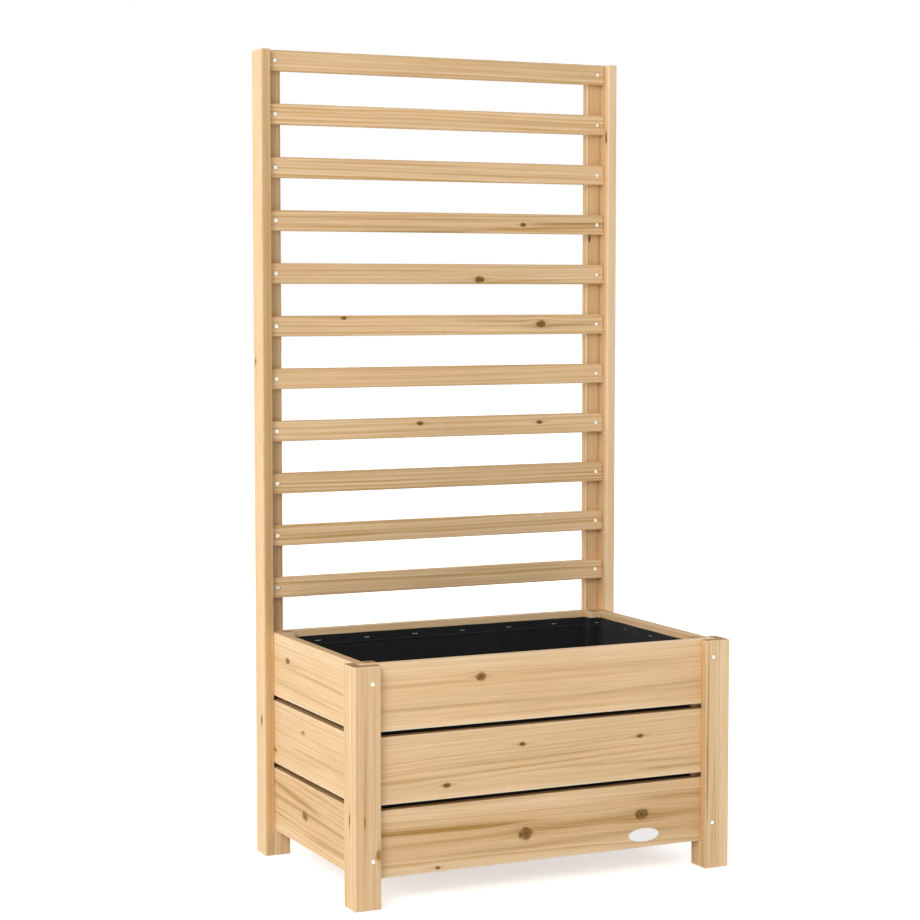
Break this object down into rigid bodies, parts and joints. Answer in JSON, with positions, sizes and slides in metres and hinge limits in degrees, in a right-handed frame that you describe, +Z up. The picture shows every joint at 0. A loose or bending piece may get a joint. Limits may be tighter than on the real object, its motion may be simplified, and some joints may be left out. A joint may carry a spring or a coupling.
{
  "type": "planter with trellis",
  "caption": "Slatted wooden planter box on corner posts, with a tall ladder trellis on its back posts and a fabric liner inside.",
  "frame": {"origin": "on the floor, at the middle of the footprint of the four corner posts", "axes": "+X along the front to the right, seen from the front; +Y from the front to the trellis side; +Z up"},
  "size_m": [0.68, 0.44, 1.37],
  "materials": {
    "post_wood": "planed softwood, clear, fine straight grain along the post",
    "board_wood": "planed softwood, clear, fine grain along the board, small knots",
    "slat_wood": "planed softwood, clear, fine grain along the slat, small knots",
    "frame_wood": "sawn softwood, matt",
    "screw_steel": "bright zinc plate, cross recess",
    "liner_cloth": "black non-woven cloth, matt"
  },
  "bodies": {
    "root": {"fabric_liner": "liner_cloth", "floor_rail_front": "frame_wood", "floor_rail_rear": "frame_wood", "floor_slat_1": "frame_wood", "floor_slat_2": "frame_wood", "floor_slat_3": "frame_wood", "floor_slat_4": "frame_wood", "floor_slat_5": "frame_wood", "floor_slat_6": "frame_wood", "frame_screws": "screw_steel", "front_board_bottom": "board_wood", "front_board_middle": "board_wood", "front_board_top": "board_wood", "front_left_corner_batten": "frame_wood", "front_left_foot_block": "frame_wood", "front_left_leg_narrow": "post_wood", "front_left_leg_wide": "post_wood", "front_right_corner_batten": "frame_wood", "front_right_foot_block": "frame_wood", "front_right_leg_narrow": "post_wood", "front_right_leg_wide": "post_wood", "left_board_bottom": "board_wood", "left_board_middle": "board_wood", "left_board_top": "board_wood", "rear_board_bottom": "board_wood", "rear_board_middle": "board_wood", "rear_board_top": "board_wood", "rear_left_corner_batten": "frame_wood", "rear_left_foot_block": "frame_wood", "rear_left_post_narrow": "post_wood", "rear_left_post_wide": "post_wood", "rear_right_corner_batten": "frame_wood", "rear_right_foot_block": "frame_wood", "rear_right_post_narrow": "post_wood", "rear_right_post_wide": "post_wood", "right_board_bottom": "board_wood", "right_board_middle": "board_wood", "right_board_top": "board_wood", "trellis_screws": "screw_steel", "trellis_slat_01": "slat_wood", "trellis_slat_02": "slat_wood", "trellis_slat_03": "slat_wood", "trellis_slat_04": "slat_wood", "trellis_slat_05": "slat_wood", "trellis_slat_06": "slat_wood", "trellis_slat_07": "slat_wood", "trellis_slat_08": "slat_wood", "trellis_slat_09": "slat_wood", "trellis_slat_10": "slat_wood", "trellis_slat_11": "slat_wood"}
  },
  "joints": []
}
